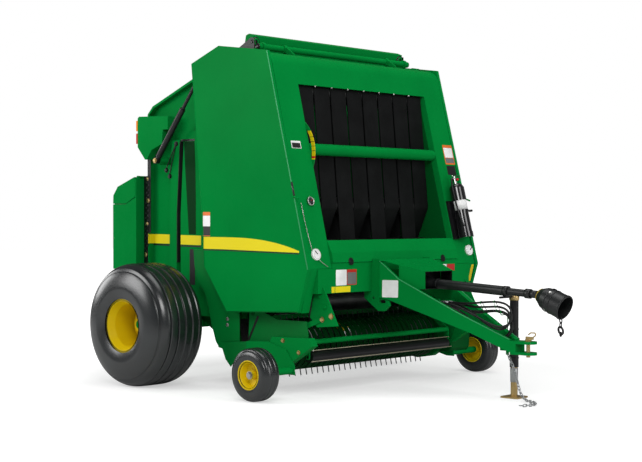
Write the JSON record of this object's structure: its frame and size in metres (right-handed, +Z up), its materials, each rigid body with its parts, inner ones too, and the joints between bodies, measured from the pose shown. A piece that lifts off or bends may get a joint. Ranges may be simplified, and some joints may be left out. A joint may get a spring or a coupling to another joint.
{
  "type": "round baler",
  "caption": "Towed round baler with belts, tined pickup, lifting tailgate, net wrap box, side shields, jack and driveline, parked on its wheels and jack.",
  "frame": {"origin": "on the ground under the middle of the machine's outer box", "axes": "+X forward to the tractor, +Y to the machine's left, +Z up"},
  "size_m": [4.115, 3.143, 2.858],
  "materials": {
    "green_paint": "gloss",
    "yellow_paint": "gloss",
    "black_paint": "satin",
    "tyre_rubber": "matt",
    "belt_rubber": "matt",
    "hose_rubber": "satin",
    "black_plastic": "matt",
    "plain_steel": "worn",
    "zinc_yellow": "zinc plated",
    "chrome_rod": "polished",
    "lamp_lens": "clear lens",
    "white_plastic": "gloss"
  },
  "bodies": {
    "main": {"chamber_walls": "green_paint", "side_boxes": "green_paint", "face_columns": "green_paint", "top_beam": "green_paint", "sill_panel": "green_paint", "cross_beam": "green_paint", "tongue_plates": "green_paint", "tongue_beams": "green_paint", "hitch_head": "green_paint", "hitch_pin": "zinc_yellow", "gearbox": "green_paint", "gearbox_cover": "green_paint", "top_rails": "green_paint", "roof_bar": "green_paint", "roof_tube": "green_paint", "chamber_rollers": "plain_steel", "front_belts": "belt_rubber", "window_tube": "green_paint", "axle": "green_paint", "shield_pins": "green_paint", "jack_tube": "black_paint", "extinguisher": "black_paint", "size_indicator": "yellow_paint", "dials": "white_plastic", "hose_rack": "plain_steel", "hose_1": "hose_rubber", "hose_2": "hose_rubber", "safety_chain": "plain_steel"},
    "wheel_right": {"tyre_right": "tyre_rubber", "rim_right": "yellow_paint"},
    "wheel_left": {"tyre_left": "tyre_rubber", "rim_left": "yellow_paint"},
    "gauge_wheel_right": {"gauge_tyre_right": "tyre_rubber", "gauge_rim_right": "yellow_paint"},
    "gauge_wheel_left": {"gauge_tyre_left": "tyre_rubber", "gauge_rim_left": "yellow_paint"},
    "tailgate": {"gate_walls": "green_paint", "gate_frame": "green_paint", "gate_rollers": "plain_steel", "rear_belts": "belt_rubber", "lamp_boxes": "green_paint", "lamps": "lamp_lens", "net_box": "green_paint"},
    "net_lid": {"net_lid": "green_paint"},
    "barrel_right": {"barrel_right": "black_paint"},
    "barrel_left": {"barrel_left": "black_paint"},
    "rod_right": {"rod_right": "chrome_rod"},
    "rod_left": {"rod_left": "chrome_rod"},
    "shield_right": {"shield_right": "green_paint"},
    "shield_left": {"shield_left": "green_paint"},
    "pickup": {"pickup_frame": "green_paint", "flares": "green_paint", "stripper_bands": "green_paint"},
    "reel": {"reel": "black_paint"},
    "wind_guard": {"wind_guard": "green_paint"},
    "wind_roller": {"wind_roller": "black_paint"},
    "jack_leg": {"jack_leg": "zinc_yellow"},
    "driveline": {"pto_tube": "black_plastic"},
    "driveline_inner": {"pto_shaft": "black_plastic"},
    "driveline_cover": {"pto_bell": "black_plastic"}
  },
  "joints": [
    {"name": "right_wheel_spin", "type": "hinge", "parent": "main", "child": "wheel_right", "pos_m": [-1.21, -1.297, 0.505], "axis": [0, 1, 0], "continuous": true},
    {"name": "left_wheel_spin", "type": "hinge", "parent": "main", "child": "wheel_left", "pos_m": [-1.21, 1.297, 0.505], "axis": [0, 1, 0], "continuous": true},
    {"name": "tailgate_lift", "type": "hinge", "parent": "main", "child": "tailgate", "pos_m": [-0.61, 0, 2.3], "axis": [0, 1, 0], "range_deg": [0, 55]},
    {"name": "net_lid_lift", "type": "hinge", "parent": "tailgate", "child": "net_lid", "pos_m": [-1.755, 0, 1.74], "axis": [0, 1, 0], "range_deg": [0, 75]},
    {"name": "right_shield_lift", "type": "hinge", "parent": "main", "child": "shield_right", "pos_m": [-0.51, -1.012, 2.7], "axis": [-1, 0, 0], "range_deg": [0, 75]},
    {"name": "left_shield_lift", "type": "hinge", "parent": "main", "child": "shield_left", "pos_m": [-0.51, 1.012, 2.7], "axis": [1, 0, 0], "range_deg": [0, 75]},
    {"name": "pickup_lift", "type": "hinge", "parent": "main", "child": "pickup", "pos_m": [-0.31, 0, 0.62], "axis": [0, -1, 0], "range_deg": [0, 14]},
    {"name": "reel_spin", "type": "hinge", "parent": "pickup", "child": "reel", "pos_m": [-0.06, 0, 0.36], "axis": [0, 1, 0], "continuous": true},
    {"name": "right_gauge_wheel_spin", "type": "hinge", "parent": "pickup", "child": "gauge_wheel_right", "pos_m": [0.181, -1.39, 0.203], "axis": [0, 1, 0], "continuous": true},
    {"name": "left_gauge_wheel_spin", "type": "hinge", "parent": "pickup", "child": "gauge_wheel_left", "pos_m": [0.181, 1.39, 0.203], "axis": [0, 1, 0], "continuous": true},
    {"name": "wind_guard_float", "type": "hinge", "parent": "pickup", "child": "wind_guard", "pos_m": [0.133, 0, 0.491], "axis": [0, -1, 0], "range_deg": [0, 25]},
    {"name": "wind_roller_spin", "type": "hinge", "parent": "wind_guard", "child": "wind_roller", "pos_m": [0.237, 0, 0.298], "axis": [0, 1, 0], "continuous": true},
    {"name": "jack_lift", "type": "slide", "parent": "main", "child": "jack_leg", "axis": [0, 0, 1], "range_m": [0, 0.2]},
    {"name": "driveline_swing", "type": "hinge", "parent": "main", "child": "driveline", "pos_m": [0.67, 0, 0.868], "axis": [0, -1, 0], "range_deg": [0, 20]},
    {"name": "driveline_slide", "type": "slide", "parent": "driveline", "child": "driveline_inner", "axis": [0.9985, 0, -0.0541], "range_m": [-0.15, 0.15]},
    {"name": "driveline_joint", "type": "hinge", "parent": "driveline_inner", "child": "driveline_cover", "pos_m": [1.79496, 0, 0.80707], "axis": [0, -1, 0], "range_deg": [0, 40]},
    {"name": "right_rod_swing", "type": "hinge", "parent": "main", "child": "rod_right", "pos_m": [-0.85, -0.97, 2.62], "axis": [0, 1, 0], "range_deg": [0, 60]},
    {"name": "right_barrel_slide", "type": "slide", "parent": "rod_right", "child": "barrel_right", "axis": [-0.6247, 0, -0.7809], "range_m": [-0.368, 0]},
    {"name": "left_rod_swing", "type": "hinge", "parent": "main", "child": "rod_left", "pos_m": [-0.85, 0.97, 2.62], "axis": [0, 1, 0], "range_deg": [0, 60]},
    {"name": "left_barrel_slide", "type": "slide", "parent": "rod_left", "child": "barrel_left", "axis": [-0.6247, 0, -0.7809], "range_m": [-0.368, 0]}
  ],
  "couplings": [
    {"joint": "right_rod_swing", "follows": "tailgate_lift", "ratio": 1.085},
    {"joint": "right_barrel_slide", "follows": "tailgate_lift", "m_per_rad": -0.38184},
    {"joint": "left_rod_swing", "follows": "tailgate_lift", "ratio": 1.085},
    {"joint": "left_barrel_slide", "follows": "tailgate_lift", "m_per_rad": -0.38184}
  ]
}
